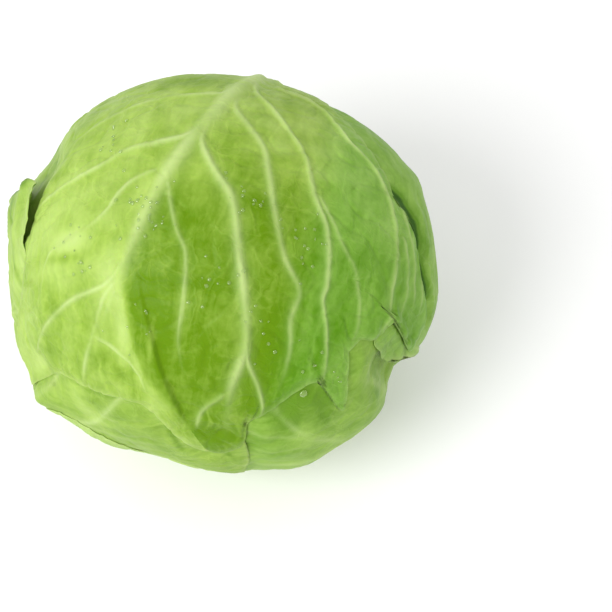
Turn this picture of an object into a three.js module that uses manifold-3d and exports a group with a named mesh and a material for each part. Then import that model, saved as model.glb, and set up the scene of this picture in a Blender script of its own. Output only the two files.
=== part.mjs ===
// A head of white cabbage lying on its side, in millimetres, +Z up.
// The cut stem faces +Y and the crown, where the leaf tips fold over, faces -Y.
// The origin is on the surface that the head rests on, under the middle of its bounding box.
import * as THREE from "three";
import { mergeVertices } from "three/addons/utils/BufferGeometryUtils.js";
import Module from "manifold-3d";

// Driving dimensions of the head.
const HEAD_RADII = new THREE.Vector3(87, 80, 83);
const CENTRE_HEIGHT = 80.5; // under the Z radius, so that the lowest leaf rests on a flat spot

// Leaves: each lies on those before it in LEAVES.
const LEAF_THICKNESS = 1;
const LEAF_PITCH = 2.6; // from one leaf's outer face to the next one's
const COVER_CLEAR = 9; // degrees past an upper leaf's margin where a leaf still runs at full depth
const COVER_EASE = 20; // degrees over which it then comes up to the surface
const HEART_GAP = 1.5;

// Stem: the cut stump that all the leaves grow from.
const STEM_RADIUS = 14;
const STEM_ROOT_RADIUS = 10;
const STEM_LENGTH = 30;
const STEM_FACE_Y = 79;
const STEM_CHAMFER = 1.5;
const STEM_GAP = 0.6;
const STEM_CLEAR = 13; // degrees from the stem's axis to the foot of each leaf

// Angles are in degrees. A place on the head is given by theta, from the stem's axis,
// and phi, about that axis from straight up towards +X.
const rad = THREE.MathUtils.degToRad;
const deg = THREE.MathUtils.radToDeg;
const smooth = THREE.MathUtils.smoothstep;

function direction(theta, phi) {
  const across = Math.sin(rad(theta));
  return new THREE.Vector3(
    across * Math.sin(rad(phi)),
    Math.cos(rad(theta)),
    across * Math.cos(rad(phi)),
  );
}

// Places where the head is fuller (+) or flatter (-) than an ellipsoid.
const LUMPS = [
  { theta: 0, phi: 0, spread: 13, rise: -6 }, // hollow round the stem
  { theta: 52, phi: -45, spread: 18, rise: 1.2 },
  { theta: 86, phi: -61, spread: 9, rise: -4 },
  { theta: 133, phi: -101, spread: 12, rise: 8 },
  { theta: 151, phi: -122, spread: 10, rise: 2.5 },
  { theta: 60, phi: 60, spread: 18, rise: 3.5 },
  { theta: 82, phi: 96, spread: 9, rise: 2 },
  { theta: 124, phi: 96, spread: 9, rise: 1.5 },
  { theta: 140, phi: 118, spread: 8, rise: 3 },
  { theta: 146, phi: 90, spread: 8, rise: 2 },
  { theta: 157, phi: -165, spread: 13, rise: -2.5 },
].map((lump) => ({ ...lump, at: direction(lump.theta, lump.phi) }));

// Long shallow hollows, each along the arc from one place to another.
const HOLLOWS = [
  { start: direction(88, 130), end: direction(115, 78), spread: 9, rise: -5.5 },
  { start: direction(122, -110), end: direction(136, -84), spread: 7, rise: -3 },
];

// Degrees from d to the nearest place on the arc from start to end.
function fromArc(d, { start, end }) {
  const length = start.angleTo(end);
  const onward = end.clone().addScaledVector(start, -Math.cos(length)).normalize();
  const along = THREE.MathUtils.clamp(Math.atan2(d.dot(onward), d.dot(start)), 0, length);
  const nearest = start.clone().multiplyScalar(Math.cos(along)).addScaledVector(onward, Math.sin(along));
  return deg(d.angleTo(nearest));
}

// Distance from the head's centre to the outer surface, along the unit vector d.
function envelope(d) {
  let r = 1 / Math.hypot(d.x / HEAD_RADII.x, d.y / HEAD_RADII.y, d.z / HEAD_RADII.z);
  for (const { at, spread, rise } of LUMPS) {
    r += rise * Math.exp(-((deg(d.angleTo(at)) / spread) ** 2));
  }
  for (const hollow of HOLLOWS) {
    r += hollow.rise * Math.exp(-((fromArc(d, hollow) / hollow.spread) ** 2));
  }
  return d.z < 0 ? Math.min(r, CENTRE_HEIGHT / -d.z) : r;
}

// A leaf is laid out flat, in degrees of arc from its middle: x to its right and y towards its tip.
// reach is its outline, as the distance from the middle to the margin at 12 bearings,
// 30 degrees apart, from the tip round by the right. A lobe adds to it (or, below 0, cuts into it).
// flares are stretches of margin that stand off the head.
const LEAVES = [
  {
    name: "leaf_lower_left",
    at: [100, -160],
    reach: [64, 62, 62, 60, 62, 72, 0, 58, 61, 60, 62, 62],
    lobes: [],
    flares: [],
    segments: 22,
    colour: 0xb9d68a,
  },
  {
    name: "leaf_lower_right",
    at: [100, 152],
    reach: [62, 62, 60, 60, 62, 64, 0, 64, 62, 60, 60, 62],
    lobes: [],
    flares: [],
    segments: 22,
    colour: 0xb4d284,
  },
  {
    name: "leaf_crown_right",
    at: [112, 104],
    reach: [70, 66, 64, 62, 66, 78, 0, 86, 74, 62, 60, 64],
    lobes: [],
    flares: [],
    segments: 22,
    colour: 0x93c069,
  },
  {
    name: "leaf_crown_left",
    at: [112, -112],
    reach: [86, 80, 72, 68, 72, 84, 0, 76, 64, 62, 66, 78],
    lobes: [],
    flares: [],
    segments: 20,
    colour: 0xa9cd6a,
  },
  {
    name: "leaf_right",
    at: [78, 112],
    reach: [46, 50, 56, 60, 60, 60, 0, 60, 55, 44, 54, 50],
    lobes: [{ bearing: -72, half: 10, by: -12 }],
    flares: [],
    segments: 14,
    colour: 0x8bbd60,
  },
  {
    name: "leaf_left",
    at: [82, -110],
    reach: [50, 47, 46, 44, 46, 58, 0, 62, 60, 62, 58, 52],
    lobes: [],
    flares: [{ bearing: 84, half: 26, rise: 6, width: 14 }],
    segments: 14,
    colour: 0xb4d874,
  },
  {
    name: "leaf_under",
    at: [90, 180],
    reach: [63, 55, 57, 50, 53, 62, 0, 60, 56, 50, 48, 57],
    lobes: [],
    flares: [],
    segments: 18,
    colour: 0xacd07c,
  },
  {
    name: "leaf_top",
    at: [95, -5],
    reach: [72, 70, 68, 82, 66, 70, 0, 70, 62, 56, 70, 70],
    lobes: [
      { bearing: 14, half: 9, by: 12 },
      { bearing: 49, half: 4, by: 12 },
      { bearing: 82, half: 8, by: 6 },
      { bearing: -54, half: 9, by: 14 },
    ],
    flares: [],
    segments: 18,
    colour: 0x9cc862,
  },
];

const BEARING_STEP = 30;
const LOBE_EDGE = 2; // degrees of bearing over which a lobe's side falls away

// Difference between two bearings, from -180 to 180.
function turn(from, to) {
  return THREE.MathUtils.euclideanModulo(to - from + 180, 360) - 180;
}

for (const leaf of LEAVES) {
  const [theta, phi] = leaf.at;
  leaf.middle = direction(theta, phi);
  leaf.tipward = direction(theta + 90, phi);
  leaf.rightward = leaf.middle.clone().cross(leaf.tipward);
  leaf.reach[180 / BEARING_STEP] = theta - STEM_CLEAR;
}

// Distance from a leaf's middle to its margin: a smooth closed curve through reach, with the lobes.
function margin(leaf, bearing) {
  const place = THREE.MathUtils.euclideanModulo(bearing, 360) / BEARING_STEP;
  const i = Math.floor(place);
  const t = place - i;
  const [a, b, c, d] = [-1, 0, 1, 2].map((k) => leaf.reach[(i + k + 12) % 12]);
  const slope = (c - a) / 2;
  const nextSlope = (d - b) / 2;
  let r = b + t * (slope + t * (3 * (c - b) - 2 * slope - nextSlope));
  r += t ** 3 * (2 * (b - c) + slope + nextSlope);
  for (const lobe of leaf.lobes) {
    const off = Math.abs(turn(lobe.bearing, bearing));
    r += lobe.by * (1 - smooth(off, lobe.half - LOBE_EDGE, lobe.half + LOBE_EDGE));
  }
  return r;
}

// Where the unit vector d lies on a leaf: its bearing from the leaf's middle, its distance
// from there, and how far inside the margin it is.
function placeOn(leaf, d) {
  const bearing = deg(Math.atan2(d.dot(leaf.rightward), d.dot(leaf.tipward)));
  const distance = deg(d.angleTo(leaf.middle));
  return { bearing, distance, inside: margin(leaf, bearing) - distance };
}

// 1 where a leaf lies over direction d, easing to 0 past its margin.
function cover(leaf, d) {
  return 1 - smooth(-placeOn(leaf, d).inside, COVER_CLEAR, COVER_CLEAR + COVER_EASE);
}

function totalCover(leaves, d) {
  return leaves.reduce((sum, leaf) => sum + cover(leaf, d), 0);
}

// Height that a leaf's flared margins stand off the head.
function flareRise(leaf, { bearing, inside }) {
  let rise = 0;
  for (const flare of leaf.flares) {
    const along = 1 - smooth(Math.abs(turn(flare.bearing, bearing)), flare.half / 2, flare.half);
    const across = 1 - smooth(inside, 0, flare.width);
    rise += flare.rise * along * across;
  }
  return rise;
}

// A leaf starts as a thin square plate, is rounded to a disc and stretched to its outline,
// and is then wrapped on the head, under the leaves that lie on it.
function leafGeometry(leaf, index) {
  const { segments, middle, rightward, tipward } = leaf;
  const plate = new THREE.BoxGeometry(2, 2, 2, segments, segments, 1);
  plate.deleteAttribute("normal");
  plate.deleteAttribute("uv");
  const geometry = mergeVertices(plate);
  const above = LEAVES.slice(index + 1);
  const position = geometry.attributes.position;
  const p = new THREE.Vector3();
  const d = new THREE.Vector3();
  for (let i = 0; i < position.count; i++) {
    p.fromBufferAttribute(position, i);
    const x = p.x * Math.sqrt(1 - p.y ** 2 / 2);
    const y = p.y * Math.sqrt(1 - p.x ** 2 / 2);
    const bearing = deg(Math.atan2(x, y));
    const arc = rad(Math.hypot(x, y) * margin(leaf, bearing));
    d.copy(middle).multiplyScalar(Math.cos(arc));
    d.addScaledVector(rightward, Math.sin(arc) * Math.sin(rad(bearing)));
    d.addScaledVector(tipward, Math.sin(arc) * Math.cos(rad(bearing)));
    const sunk = LEAF_PITCH * totalCover(above, d);
    let r = envelope(d) - sunk + flareRise(leaf, placeOn(leaf, d));
    if (p.z > 0) r -= LEAF_THICKNESS; // the plate is wrapped with its upper face inwards
    position.setXYZ(i, r * d.x, r * d.y, r * d.z + CENTRE_HEIGHT);
  }
  return geometry;
}

// The packed inner leaves, as the one body that the outer leaves are wrapped on.
const HEART_SEGMENTS = [32, 20];

function heartGeometry() {
  const ball = new THREE.SphereGeometry(1, ...HEART_SEGMENTS);
  ball.deleteAttribute("normal");
  ball.deleteAttribute("uv");
  const geometry = mergeVertices(ball);
  const position = geometry.attributes.position;
  const d = new THREE.Vector3();
  for (let i = 0; i < position.count; i++) {
    d.fromBufferAttribute(position, i).normalize();
    const r = envelope(d) - HEART_GAP - LEAF_PITCH * totalCover(LEAVES, d);
    position.setXYZ(i, r * d.x, r * d.y, r * d.z + CENTRE_HEIGHT);
  }
  return geometry;
}

// A turned body about the head's long axis, grown by gap all over for the socket it sits in.
function stemGeometry(gap) {
  const profile = [
    [0, STEM_FACE_Y - STEM_LENGTH - gap],
    [STEM_ROOT_RADIUS + gap, STEM_FACE_Y - STEM_LENGTH - gap],
    [STEM_RADIUS + gap, STEM_FACE_Y - STEM_LENGTH / 2],
    [STEM_RADIUS + gap, STEM_FACE_Y - STEM_CHAMFER + gap],
    [STEM_RADIUS - STEM_CHAMFER + gap, STEM_FACE_Y + gap],
    [0, STEM_FACE_Y + gap],
  ].map(([r, y]) => new THREE.Vector2(r, y));
  const geometry = new THREE.LatheGeometry(profile, 24);
  geometry.deleteAttribute("normal");
  geometry.deleteAttribute("uv");
  geometry.translate(0, 0, CENTRE_HEIGHT);
  return mergeVertices(geometry);
}

const wasm = await Module();
wasm.setup();

function solid(geometry) {
  const vertProperties = geometry.attributes.position.array;
  const triVerts = new Uint32Array(geometry.index.array);
  return new wasm.Manifold(new wasm.Mesh({ numProp: 3, vertProperties, triVerts }));
}

function geometryOf(body) {
  const { vertProperties, triVerts } = body.getMesh();
  const geometry = new THREE.BufferGeometry();
  geometry.setAttribute("position", new THREE.BufferAttribute(vertProperties, 3));
  geometry.setIndex(new THREE.BufferAttribute(triVerts, 1));
  return geometry;
}

const cabbage = new THREE.Group();

function addPiece(name, geometry, colour, roughness) {
  const material = new THREE.MeshStandardMaterial({ color: colour, roughness, metalness: 0 });
  const mesh = new THREE.Mesh(geometry, material);
  mesh.name = name;
  cabbage.add(mesh);
}

const socket = solid(stemGeometry(STEM_GAP));
addPiece("heart", geometryOf(solid(heartGeometry()).subtract(socket)), 0xd9e8b0, 0.55);
addPiece("stem", stemGeometry(0), 0xe4e6bd, 0.7);
LEAVES.forEach((leaf, index) => {
  addPiece(leaf.name, leafGeometry(leaf, index), leaf.colour, 0.5);
});

const middle = new THREE.Box3().setFromObject(cabbage).getCenter(new THREE.Vector3());
cabbage.position.set(-middle.x, -middle.y, 0);

export default cabbage;
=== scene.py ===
import math
import random

import bmesh
import bpy
import numpy as np
from bpy.props import FloatProperty, FloatVectorProperty, PointerProperty
from mathutils import Matrix, Vector


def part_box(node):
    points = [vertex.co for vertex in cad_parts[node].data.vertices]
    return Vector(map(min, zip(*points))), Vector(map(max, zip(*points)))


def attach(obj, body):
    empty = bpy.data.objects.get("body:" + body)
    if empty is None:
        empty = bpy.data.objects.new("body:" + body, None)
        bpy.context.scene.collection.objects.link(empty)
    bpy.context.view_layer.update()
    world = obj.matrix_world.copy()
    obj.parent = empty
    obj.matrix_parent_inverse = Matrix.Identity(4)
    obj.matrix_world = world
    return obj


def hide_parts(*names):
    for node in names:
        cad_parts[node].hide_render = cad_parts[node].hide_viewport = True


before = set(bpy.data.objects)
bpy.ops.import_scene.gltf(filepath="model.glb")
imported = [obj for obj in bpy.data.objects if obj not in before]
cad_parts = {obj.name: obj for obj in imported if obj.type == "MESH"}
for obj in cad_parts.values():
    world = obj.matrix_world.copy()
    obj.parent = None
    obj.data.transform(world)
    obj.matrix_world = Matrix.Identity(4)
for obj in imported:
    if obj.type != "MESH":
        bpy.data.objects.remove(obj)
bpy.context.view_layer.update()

bl_info = {
    "name": "White Cabbage Head",
    "version": (1, 0, 0),
    "blender": (4, 5, 0),
    "location": "3D View > Sidebar > Cabbage",
    "description": "Builds a head of white cabbage lying on its side, leaf by leaf",
    "category": "Add Mesh",
}

# The head is worked out in millimetres and degrees about its own centre.
# Theta is measured from the stem's axis, and phi about that axis from straight up towards +X.
MM = 0.001
HEAD_RADII = np.array([87.0, 80.0, 83.0])
STEM_FACE = 79.0  # from the head's centre to the cut face of the stem

# Places where the head is fuller (+) or flatter (-) than an ellipsoid: theta, phi, spread, rise.
LUMPS = [
    (0, 0, 13, -6.0),  # hollow round the stem
    (52, -45, 18, 1.2),
    (86, -61, 9, -4.0),  # beside the loose lobe of the left leaf
    (133, -101, 12, 7.5),
    (134, -103, 5, 2.0),
    (151, -122, 10, 2.5),
    (60, 60, 18, 3.5),
    (82, 96, 9, 2.0),
    (124, 96, 9, 1.5),
    (140, 118, 8, 3.0),
    (146, 90, 8, 2.0),
    (157, -165, 13, -2.5),
]
# Long hollows (-) and ridges (+) between two such places: start, end, spread, rise.
HOLLOWS = [
    ((88, 130), (115, 78), 7, -6.5),  # under the torn margin, and round the head from it
    ((122, -110), (136, -84), 5, -3.5),
    ((66, -88), (85, -51), 6, -1.8),
    ((52, 82), (72, 55), 4, 1.3),
]

# How the leaves lie on each other and end.
COVER_CLEAR = 0.8  # degrees past an upper leaf's margin where a leaf still runs at full depth
COVER_EASE = 6.0  # degrees over which it then comes up to the surface
FAR = 20.0  # degrees from a margin past which nothing depends on it
COVER_GAP = 0.12  # millimetres between a margin and the leaf that it lies on
MARGIN_PRESS = 0.35  # millimetres by which a margin is drawn in
PRESS_WIDTH = 3.0  # degrees inwards over which this fades
MARGIN_TAPER = 4.0  # degrees inwards over which a leaf reaches its full thickness
NOTCH_WINDOW = 60  # steps of an outline over which its notches are smoothed out
HIDDEN_RIDGE = 0.15  # share of a vein's height that is left where other leaves cover it
# How a leaf's colours and its mesh are laid out.
WHITISH_FROM = 0.52  # paleness above which the blade goes whitish, as a vein is
RIM_GLOW_WIDTH = 0.8  # degrees over which the paler rim of a leaf fades; the rim is painted light, for light through its thin margin
UV_SPAN = 200.0  # degrees across the map that a leaf's pattern follows
INNER_RINGS = (1.0, 0.985, 0.96, 0.92, 0.86, 0.78, 0.69, 0.59, 0.48, 0.37, 0.26, 0.14, 0.03)
INNER_Z = 0.1  # how far the inner face lies above the outer one on a flat blank
CROWDING = 0.2  # how far the grid of a leaf is drawn towards its tip, where it shows


def head_centre():
    low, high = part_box("stem")
    return np.array([
        (low[0] + high[0]) / 2,
        high[1] - STEM_FACE * MM,
        (low[2] + high[2]) / 2,
    ])


CENTRE = head_centre()
CENTRE_HEIGHT = CENTRE[2] / MM


# Curves and fields, all on numpy arrays.

def smoothstep(value, low, high):
    t = np.clip((value - low) / (high - low), 0.0, 1.0)
    return t * t * (3.0 - 2.0 * t)


def turn(start, end):
    """Difference between two bearings, from -180 to 180."""
    return (end - start + 180.0) % 360.0 - 180.0


def closed_curve(points, bearings):
    """A smooth closed curve through (bearing, value) points that never swings past them."""
    known = sorted((bearing % 360.0, value) for bearing, value in points)
    before = [(bearing - 360.0, value) for bearing, value in known[-2:]]
    after = [(bearing + 360.0, value) for bearing, value in known[:2]]
    at, value = np.array(before + known + after, float).T
    step = np.diff(at)
    slope = np.diff(value) / step
    product = slope[:-1] * slope[1:]
    total = np.where(product > 0, slope[:-1] + slope[1:], 1.0)
    tangent = np.concatenate([[0.0], np.where(product > 0, 2 * product / total, 0.0), [0.0]])
    where = np.asarray(bearings) % 360.0
    i = np.clip(np.searchsorted(at, where, side="right") - 1, 0, len(step) - 1)
    t = (where - at[i]) / step[i]
    rise = value[i + 1] - value[i]
    bend = t * (1 - t) * ((1 - t) * (tangent[i] * step[i] - rise) - t * (tangent[i + 1] * step[i] - rise))
    return value[i] + t * rise + bend


def smooth_line(points, steps=6):
    """The points of a line rounded off, with so many steps between each two."""
    p = np.array([points[0], *points, points[-1]], float)
    t = np.linspace(0, 1, steps, endpoint=False)[:, None]
    parts = []
    for a, b, c, d in zip(p, p[1:], p[2:], p[3:]):
        square = 2 * a - 5 * b + 4 * c - d
        cube = 3 * b - a - 3 * c + d
        parts.append(0.5 * (2 * b + (c - a) * t + square * t**2 + cube * t**3))
    return np.concatenate([*parts, p[-1:]])


def along_line(x, y, points):
    """How far each place is from a line, how far along it, from 0 to 1, and on which side."""
    line = smooth_line(points)
    lengths = np.hypot(*np.diff(line, axis=0).T)
    starts = np.concatenate([[0.0], np.cumsum(lengths)]) / lengths.sum()
    away = np.full(x.shape, np.inf)
    share = np.zeros(x.shape)
    side = np.ones(x.shape)
    for a, b, start, end in zip(line, line[1:], starts, starts[1:]):
        run = b - a
        t = np.clip(((x - a[0]) * run[0] + (y - a[1]) * run[1]) / (run @ run), 0.0, 1.0)
        off_x = x - a[0] - t * run[0]
        off_y = y - a[1] - t * run[1]
        off = np.hypot(off_x, off_y)
        nearer = off < away
        away = np.where(nearer, off, away)
        share = np.where(nearer, start + t * (end - start), share)
        side = np.where(nearer, np.sign(off_x * run[1] - off_y * run[0]), side)
    return away, share, side


def ripples(x, y, seed, wavelength, count=14):
    """Gentle random waves, mostly between -1 and 1."""
    rng = random.Random(seed)
    total = np.zeros(np.shape(x))
    for _ in range(count):
        way = rng.uniform(0, math.tau)
        pace = math.tau / (wavelength * rng.uniform(0.7, 1.6))
        total += np.sin(pace * (x * math.cos(way) + y * math.sin(way)) + rng.uniform(0, math.tau))
    return total / math.sqrt(count)


def puckers(x, y, seed):
    """Small soft blisters of the blade, with creases between them."""
    wide = np.abs(ripples(x, y, seed, 13.0))
    small = np.abs(ripples(x, y, seed + 1, 5.5))
    return -0.4 * np.exp(-((wide / 0.3) ** 2)) - 0.12 * np.exp(-((small / 0.35) ** 2))


def patches(x, y, spots):
    """Sum of soft oval spots, each given as x, y, half width, half height and amount."""
    total = np.zeros(np.shape(x))
    for cx, cy, wide, high, amount in spots:
        total += amount * np.exp(-(((x - cx) / wide) ** 2) - ((y - cy) / high) ** 2)
    return total


# The head's own shape.

def heading(theta, phi):
    """The unit vector at theta from the stem's axis and phi about it."""
    theta, phi = math.radians(theta), math.radians(phi)
    return np.array([math.sin(theta) * math.sin(phi), math.cos(theta), math.sin(theta) * math.cos(phi)])


def head_surface(d):
    """Distance from the head's centre to its outer surface, along each unit vector."""
    r = 1.0 / np.linalg.norm(d / HEAD_RADII, axis=1)
    for theta, phi, spread, rise in LUMPS:
        apart = np.degrees(np.arccos(np.clip(d @ heading(theta, phi), -1, 1)))
        r += rise * np.exp(-((apart / spread) ** 2))
    for start, end, spread, rise in HOLLOWS:
        r += rise * np.exp(-((from_arc(d, heading(*start), heading(*end)) / spread) ** 2))
    return keep_above_floor(r, d)


def from_arc(d, start, end):
    """Angle from each unit vector to the nearest point of the arc between two of them."""
    length = math.acos(start @ end)
    onward = (end - start * math.cos(length)) / math.sin(length)
    along = np.clip(np.arctan2(d @ onward, d @ start), 0.0, length)
    near = np.outer(np.cos(along), start) + np.outer(np.sin(along), onward)
    return np.degrees(np.arccos(np.clip((d * near).sum(axis=1), -1, 1)))


def keep_above_floor(r, d):
    """Cut off what would reach below the floor, which leaves the flat spot that the head rests on."""
    down = np.minimum(d[:, 2], -1e-6)
    return np.where(d[:, 2] < 0, np.minimum(r, CENTRE_HEIGHT / -down), r)


# Widths at the foot and the end of each kind of vein, in degrees.
MAIN = (3.6, 0.8)
BRANCH = (1.1, 0.6)
TWIG = (0.7, 0.5)
SIDE = (0.8, 0.55)
FINE = (0.6, 0.45)


class Leaf:
    """One leaf, laid out flat in degrees of arc from its middle: x to its right and y towards its tip.

    outline gives the distance from the middle to the margin at each bearing, from the tip round
    by the right. tone is how pale and how blue the blade is. spots are soft ovals that add to its
    paleness, creases are dark lines of painted shade, each with a half width and a darkness, and
    bumps are soft ovals that lift it, in millimetres. edges gives how far the margin stands off the
    head, in millimetres, and over how many degrees inwards it does so. veins are lines with a width
    and a height at either end.
    """

    OUTLINE_STEPS = 720
    VEIN_REACH = 4.5  # widths of a vein past which it does nothing
    HALO = 2.6  # width of the pale glow round a vein, against the vein's own

    def __init__(
        self, label, slot, at, segments, outline, tone=(0.6, 0.3), spots=(), creases=(), bumps=(),
        edges=(), veins=(), shape=None, paint=None,
    ):
        self.name = f"{label}_leaf"
        self.node = f"leaf_{label}"
        self.slot = slot
        self.segments = segments
        self.outline = outline
        self.tone = tone
        self.spots = spots
        self.creases = creases
        self.bumps = bumps
        self.edges = edges
        self.veins = veins
        self.shape = shape or self.plain_shape
        self.paint = paint or self.plain_paint
        self.seed = sum(map(ord, self.name))
        self.middle = heading(*at)
        self.tipward = heading(at[0] + 90, at[1])
        self.rightward = np.cross(self.middle, self.tipward)
        bearings = np.arange(self.OUTLINE_STEPS) * 360.0 / self.OUTLINE_STEPS
        reach = self.reach(bearings)
        self.margin = np.column_stack([
            reach * np.sin(np.radians(bearings)),
            reach * np.cos(np.radians(bearings)),
        ])
        half = NOTCH_WINDOW // 2
        window = np.hanning(NOTCH_WINDOW + 1)
        padded = np.concatenate([reach[-half:], reach, reach[:half]])
        self.even_reach = np.convolve(padded, window / window.sum(), "valid")

    def reach(self, bearings):
        return closed_curve(self.outline, bearings)

    def blank_reach(self, bearings):
        """The outline with its notches and slits smoothed out, for the inside of the leaf."""
        steps = np.arange(self.OUTLINE_STEPS + 1) * 360.0 / self.OUTLINE_STEPS
        values = np.append(self.even_reach, self.even_reach[0])
        return np.interp(bearings % 360.0, steps, values)

    def flat(self, d):
        """Where each unit vector lies on the leaf."""
        across, along = d @ self.rightward, d @ self.tipward
        arc = np.degrees(np.arccos(np.clip(d @ self.middle, -1, 1)))
        size = np.maximum(np.hypot(across, along), 1e-9)
        return arc * across / size, arc * along / size

    def wrap(self, x, y):
        """The unit vector to each place on the leaf."""
        arc = np.radians(np.hypot(x, y))
        bearing = np.arctan2(x, y)
        across = np.sin(arc) * np.sin(bearing)
        along = np.sin(arc) * np.cos(bearing)
        return (
            np.outer(np.cos(arc), self.middle)
            + np.outer(across, self.rightward)
            + np.outer(along, self.tipward)
        )

    def inside(self, x, y):
        """Distance of each place from the margin, above 0 on the leaf and below 0 off it."""
        radial = self.reach(np.degrees(np.arctan2(x, y))) - np.hypot(x, y)
        result = np.clip(radial, -FAR, FAR)
        near = np.flatnonzero(np.abs(radial) < FAR)
        for part in np.array_split(near, len(near) // 4000 + 1):
            gap = np.hypot(x[part, None] - self.margin[:, 0], y[part, None] - self.margin[:, 1])
            result[part] = np.sign(radial[part]) * np.minimum(gap.min(axis=1), FAR)
        return result

    def lift(self, x, y, inside):
        """How far the leaf stands off the head near its margin."""
        bearings = np.degrees(np.arctan2(x, y))
        total = -MARGIN_PRESS * (1 - smoothstep(inside, 0.0, PRESS_WIDTH))
        for heights, width in self.edges:
            known = np.array(heights, float)
            off = turn(known[0, 0], bearings) % 360.0
            reach = turn(known[0, 0], known[:, 0]) % 360.0
            height = np.interp(off, reach, known[:, 1], left=0, right=0)
            total = total + height * (1 - smoothstep(inside, 0.0, width))
        return total

    def plain_shape(self, x, y):
        """Height of the blade's waves and puckers."""
        return 0.5 * ripples(x, y, self.seed, 34.0) + puckers(x, y, self.seed + 1)

    def plain_paint(self, x, y):
        """Paleness and blueness of the blade."""
        pale, blue = self.tone
        pale = pale + 0.08 * ripples(x, y, self.seed + 2, 30.0) + 0.07 * ripples(x, y, self.seed + 3, 10.0)
        # Painted shade: each crease darkens the blade along its line.
        for line, half_width, darkness in self.creases:
            pale = pale - darkness * np.exp(-((along_line(x, y, line)[0] / half_width) ** 2))
        return pale + patches(x, y, self.spots), np.full(x.shape, blue)

    def ridges(self, x, y):
        """Height of the veins, in millimetres, and how strongly they show, from 0 to 1."""
        height = np.zeros(x.shape)
        strength = np.zeros(x.shape)
        for points, (wide, narrow), (high, low) in self.veins:
            spread = self.VEIN_REACH * wide
            p = np.array(points, float)
            (left, bottom), (right, top) = p.min(axis=0) - spread, p.max(axis=0) + spread
            near = np.flatnonzero((x > left) & (x < right) & (y > bottom) & (y < top))
            away, share, _ = along_line(x[near], y[near], points)
            width = wide + (narrow - wide) * share
            fade = smoothstep(share, -0.1, 0.08) * smoothstep(1.0 - share, -0.02, 0.3)
            profile = np.exp(-((away / width) ** 2))
            halo = np.exp(-((away / (self.HALO * width)) ** 2))
            height[near] += ((high + (low - high) * share) * fade * profile) ** 3
            uneven = np.clip(0.9 + 0.25 * ripples(x[near], y[near], 17, 14.0), 0.4, 1.1)
            bright = 0.9 * min(1.0, high + 0.1) ** 0.6 * (1 - 0.35 * share) * fade * uneven
            strength[near] = np.maximum(strength[near], bright * (0.8 * profile + 0.2 * halo))
        return np.cbrt(height), strength


def branching_veins(outline, seed, pairs=6, height=1.0):
    """A midrib with side veins that leave it in turn, bend towards the tip and fork."""
    rng = random.Random(seed)
    foot = -closed_curve(outline, [180.0])[0]
    tip = closed_curve(outline, [0.0])[0]
    sway = rng.uniform(-6, 6)
    midrib = [
        (0, foot + 1), (0.3 * sway, foot * 0.5), (0.8 * sway, 0), (sway, tip * 0.45),
        (0.6 * sway, tip * 0.85),
    ]
    veins = [(midrib, MAIN, (3.0 * height, 0.3 * height))]
    for i in range(pairs):
        for side in (-1, 1):
            share = (i + 0.5 + 0.25 * side + rng.uniform(-0.22, 0.22)) / (pairs + 0.6)
            y = foot * 0.9 + share * (tip * 0.6 - foot * 0.9)
            x = sway * float(smoothstep(np.array(y), foot, 0.0)) * 0.8
            reach = closed_curve(outline, [side * (110 - 75 * share)])[0] * rng.uniform(0.75, 0.95)
            lean = rng.uniform(0.75, 1.15)
            points = [(x, y)]
            for part in (0.2, 0.45, 0.7, 1.0):
                points.append((
                    x + side * reach * (0.95 - 0.25 * lean) * part + rng.uniform(-2, 2),
                    y + reach * lean * 0.55 * part**0.8 + rng.uniform(-2, 2),
                ))
            strong = height * rng.uniform(0.5, 1.0)
            veins.append((points, BRANCH, (0.9 * strong, 0.2 * strong)))
            for fork, turned in ((points[2], rng.choice((-1, 1))), (points[3], rng.choice((-1, 1)))):
                twig = [fork]
                for part in (0.5, 1.0):
                    twig.append((
                        fork[0] + side * reach * part * (0.16 - 0.12 * turned) + rng.uniform(-1, 1),
                        fork[1] + reach * part * (0.2 + 0.14 * turned) + rng.uniform(-1, 1),
                    ))
                veins.append((twig, TWIG, (0.45 * strong, 0.1 * strong)))
    return veins


# The top leaf, which shows best.
TOP_OUTLINE = [
    (180, 84), (172, 83), (165, 77), (155, 66), (145, 57), (130, 54), (119, 55), (114, 57), (110, 58.5),
    (107.5, 61), (106, 65), (103.5, 67.5), (101, 70.5), (97, 73), (93.5, 75), (90.5, 78.5), (88.5, 83.5),
    (86, 89), (84, 90), (80, 87), (76, 88), (74.5, 89), (73.5, 79), (73, 70), (68.5, 70), (66, 69.5),
    (61.5, 65), (57.5, 65.5), (55.5, 69), (53, 74), (50.5, 79.5), (48.5, 82.5), (47.5, 81), (46.5, 75),
    (46, 71), (45.5, 68.5), (44.5, 67.5), (42, 67), (38.5, 67.5), (32, 69.5), (27, 71.5), (22.5, 74),
    (21, 80), (18, 84.5), (14, 86.5), (10.5, 86), (7, 84), (1.5, 78), (-2.5, 71), (-8, 66.5), (-13, 67),
    (-20, 68.5), (-31, 70.5), (-37, 73.5), (-44.5, 84.5), (-48.5, 90.5), (-54, 88.5), (-58, 78.5),
    (-60.5, 66.5), (-65, 58.5), (-71, 55.5), (-76, 54.5), (-82, 53), (-88, 52), (-95, 51), (-110, 56),
    (-130, 62), (-150, 69), (-163, 77), (-172, 83),
]
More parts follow.
